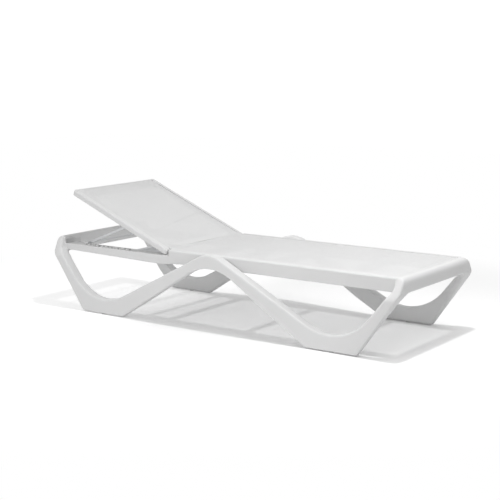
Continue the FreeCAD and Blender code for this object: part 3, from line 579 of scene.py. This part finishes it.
# %% Lines of the sling
hinge_joint = next(j for j in frame["joints"] if j["name"] == "backrest_recline")
HINGE = Vector(hinge_joint["pos_m"])
RECLINE = math.radians(-hinge_joint["range_deg"][0])
seat_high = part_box("seat_sling")[1]
CLOTH_TOP = seat_high.z
CLOTH_HALF = seat_high.y
FOOT_END = seat_high.x
BACK_REACH = 0.620
BEND_MIDDLE = HINGE.x + (CLOTH_TOP - HINGE.z) * math.tan(RECLINE / 2)
BEND_HALF = 48 * MM
BEND_START = BEND_MIDDLE + BEND_HALF
BEND_END = BEND_MIDDLE - BEND_HALF
SAG = 5 * MM
WRAP = 9 * MM
WRAP_DROP = 2.4 * MM
SAG_EDGE = 30 * MM
SAG_RISE = 0.15
PULL_HEIGHT = 0.9 * MM
PULL_PLACE = 0.10
PULL_REACH = 0.09
PULL_SPACING = 0.085


def turned_share(x_flat):
    """How much of the backrest's turn a point of the flat cloth takes: 0 on the seat, 1 on the backrest."""
    return smoothstep((BEND_START - x_flat) / (BEND_START - BEND_END))


def bend_path():
    """The cloth's line through the bend, one point for each millimetre of cloth, starting on the seat."""
    x, z = BEND_START, CLOTH_TOP
    path = []
    for i in range(round(2 * BEND_HALF / MM) + 1):
        path.append((x, z))
        turn = RECLINE * turned_share(BEND_START - (i + 0.5) * MM)
        x, z = x - math.cos(turn) * MM, z + math.sin(turn) * MM
    return path


BEND_PATH = bend_path()


def on_lounger(x_flat, y, height):
    """A point of the flat cloth carried to its place on the reclined lounger."""
    passed = BEND_START - x_flat
    before = min(max(int(passed / MM), 0), len(BEND_PATH) - 1)
    x, z = BEND_PATH[before]
    further = passed - before * MM
    turn = RECLINE * turned_share(x_flat)
    lift = height - CLOTH_TOP
    return Vector((x - further * math.cos(turn) + lift * math.sin(turn), y,
                   z + further * math.sin(turn) + lift * math.cos(turn)))


def pulls(x_flat, y):
    """Soft diagonal pulls in the cloth of the lower backrest."""
    nearness = math.exp(-((x_flat - HINGE.x + PULL_PLACE) / PULL_REACH) ** 2)
    lines = math.sin((x_flat * 0.9 + y * 0.45) * 2 * math.pi / PULL_SPACING)
    return PULL_HEIGHT * nearness * lines * math.cos(0.5 * math.pi * y / CLOTH_HALF)


def cloth_height(x_flat, y):
    """The height of the cloth's surface before the backrest is turned."""
    across = 1 - (y / (CLOTH_HALF - SAG_EDGE)) ** 2
    ends = min((x_flat - (HINGE.x - BACK_REACH)) / SAG_RISE, (FOOT_END - x_flat) / SAG_RISE, 1.0)
    sag = SAG * max(across, 0.0) * smoothstep(ends)
    wrap = WRAP_DROP * smoothstep((x_flat - FOOT_END + 1 * MM) / WRAP)
    return CLOTH_TOP - sag - wrap + pulls(x_flat, y)


# %% Weave the sling
ALONG_STEPS = 190
ACROSS_STEPS = 44
TUCK = [(2.4, 0.3), (4.4, 1.2), (5.5, 3.2)]
TUCK_WIDE = 6.4 * MM
GROOVE_SHOWS = 1.3 * MM


def across_line():
    """Places across the flat cloth and how far each is tucked down into the rail's groove."""
    flat_half = CLOTH_HALF - TUCK_WIDE
    line = [(-flat_half + 2 * flat_half * i / ACROSS_STEPS, 0.0) for i in range(ACROSS_STEPS + 1)]
    tucked = [(flat_half + out * MM, down * MM) for out, down in TUCK]
    return [(-y, down) for y, down in reversed(tucked)] + line + tucked


def weave_sling():
    """The sling as a grid: rows along the lounger, each with the same places across."""
    line = across_line()
    start = HINGE.x - BACK_REACH
    places = [start + (FOOT_END - start) * i / ALONG_STEPS for i in range(ALONG_STEPS + 1)]
    places += [FOOT_END + WRAP * share for share in (0.25, 0.5, 0.75, 1.0)]
    vertices, uvs, faces = [], [], []
    for x_flat in places:
        opened = GROOVE_SHOWS * turned_share(x_flat)
        for y, down in line:
            y -= math.copysign(opened, y) if down else 0.0
            vertices.append(on_lounger(x_flat, y, cloth_height(x_flat, y) - down))
            uvs.append((y + math.copysign(down, y), x_flat - start))
    width = len(line)
    for i in range(len(places) - 1):
        for k in range(width - 1):
            a = i * width + k
            faces.append((a, a + 1, a + width + 1, a + width))
    piece = new_piece("sling", vertices, faces, uvs)
    piece.data.polygons.foreach_set("use_smooth", [True] * len(faces))
    return piece


sling = weave_sling()
sling.data.materials.append(sling_mesh)
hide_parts("seat_sling", "back_sling")
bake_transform(sling)

# %% [markdown]
# ## Floor and light
# A flat white floor fades into a backdrop that is just as white, so no horizon shows. Some of this is made
# for the camera alone and isn't real light: the floor's glow, which grows towards the head end and makes the
# shadow there faint, its fade to white far away, and the brighter backdrop. What lights the lounger is a
# white board, a little duller under and beyond the foot end so that the faces that look down and out there
# stay in soft shade, and a sky that is darker towards the foot end. A small high key gives the shadow its
# clear bars, a wide light high beyond the foot end makes the seat brighter than the backrest, and a fill
# lights the near side.

# %% Floor
FLOOR_WHITE = 0.94
FOOT_DIM = 0.10
FLOOR_GLOW = 0.06
HEAD_GLOW = 0.30
FLOOR_HALF = 9
DIM_FROM, DIM_TO = 0.5, 1.0
GLOW_FROM, GLOW_TO = -0.25, -0.85
FADE_FROM, FADE_TO = 1.15, 2.2
corners = [(-1, -1), (1, -1), (1, 1), (-1, 1)]
floor = new_piece("floor", [(x * FLOOR_HALF, y * FLOOR_HALF, 0) for x, y in corners], [(0, 1, 2, 3)])
floor_material, floor_tree, floor_shader = new_material("floor_white")
floor_shader.inputs["Roughness"].default_value = 0.9
floor_shader.inputs["Specular IOR Level"].default_value = 0.0
floor_shader.inputs["Emission Color"].default_value = (1, 1, 1, 1)
floor_seen = add_node(floor_tree, "ShaderNodeLightPath").outputs["Is Camera Ray"]
floor_point = add_node(floor_tree, "ShaderNodeTexCoord").outputs["Object"]
floor_x = feed(floor_tree, add_node(floor_tree, "ShaderNodeSeparateXYZ"), Vector=floor_point).outputs["X"]
dimmed = calculate(floor_tree, "MULTIPLY", ramp(floor_tree, floor_x, DIM_FROM, DIM_TO, high=FOOT_DIM),
                   calculate(floor_tree, "SUBTRACT", 1.0, floor_seen))
glowing = ramp(floor_tree, floor_x, GLOW_FROM, GLOW_TO, low=FLOOR_GLOW, high=HEAD_GLOW)
feed(floor_tree, floor_shader, Base_Color=calculate(floor_tree, "SUBTRACT", FLOOR_WHITE, dimmed),
     Emission_Strength=calculate(floor_tree, "MULTIPLY", floor_seen, glowing))
away = feed(floor_tree, add_node(floor_tree, "ShaderNodeVectorMath", operation="LENGTH"), Vector=floor_point)
faded = ramp(floor_tree, away.outputs["Value"], FADE_FROM, FADE_TO)
glow = feed(floor_tree, add_node(floor_tree, "ShaderNodeEmission"), Strength=1.0)
blend_floor = add_node(floor_tree, "ShaderNodeMixShader")
floor_tree.links.new(calculate(floor_tree, "MULTIPLY", faded, floor_seen), blend_floor.inputs[0])
floor_tree.links.new(floor_shader.outputs["BSDF"], blend_floor.inputs[1])
floor_tree.links.new(glow.outputs["Emission"], blend_floor.inputs[2])
floor_tree.links.new(blend_floor.outputs["Shader"], floor_tree.nodes["Material Output"].inputs["Surface"])
floor.data.materials.append(floor_material)

# %% Light
SKY_LIGHT = 0.70
FOOT_SHADE = 0.46
NEAR_FILL = 0.04
BACKDROP = 1.1
SHADE_FROM, SHADE_TO = -0.1, 0.8


def area_light(name, place, aim, width, watts):
    """A square soft light at a place, pointed at another."""
    data = bpy.data.lights.new(name, "AREA")
    data.shape = "SQUARE"
    data.size = width
    data.energy = watts
    lamp = bpy.data.objects.new(name, data)
    lamp.location = place
    lamp.rotation_mode = "QUATERNION"
    lamp.rotation_quaternion = (Vector(aim) - Vector(place)).to_track_quat("-Z", "Y")
    bpy.context.scene.collection.objects.link(lamp)


area_light("key", (0.9, -0.3, 3.6), (0.1, 0, 0), 0.20, 46)
area_light("seat_glow", (1.3, -0.2, 1.7), (0.5, 0, 0.3), 1.4, 10)
area_light("near_fill", (-0.4, -2.4, 0.9), (-0.1, 0, 0.2), 1.2, 8)
world = bpy.data.worlds.new("sky")
world.use_nodes = True
bpy.context.scene.world = world
sky = world.node_tree
backdrop = sky.nodes["Background"]
seen = add_node(sky, "ShaderNodeLightPath").outputs["Is Camera Ray"]
ray = feed(sky, add_node(sky, "ShaderNodeSeparateXYZ"),
           Vector=add_node(sky, "ShaderNodeTexCoord").outputs["Generated"])
foot_side = ramp(sky, ray.outputs["X"], SHADE_FROM, SHADE_TO)
near_side = calculate(sky, "MULTIPLY", ray.outputs["Y"], -1.0, clamp=True)
shade = calculate(sky, "MULTIPLY", foot_side, FOOT_SHADE)
shaded = calculate(sky, "SUBTRACT", SKY_LIGHT, shade)
lit = calculate(sky, "ADD", shaded, calculate(sky, "MULTIPLY", near_side, NEAR_FILL))
unseen = calculate(sky, "MULTIPLY", lit, calculate(sky, "SUBTRACT", 1.0, seen))
backdrop.inputs["Color"].default_value = (1, 1, 1, 1)
feed(sky, backdrop, Strength=calculate(sky, "ADD", unseen, calculate(sky, "MULTIPLY", seen, BACKDROP)))
bpy.context.scene.view_settings.view_transform = "Standard"
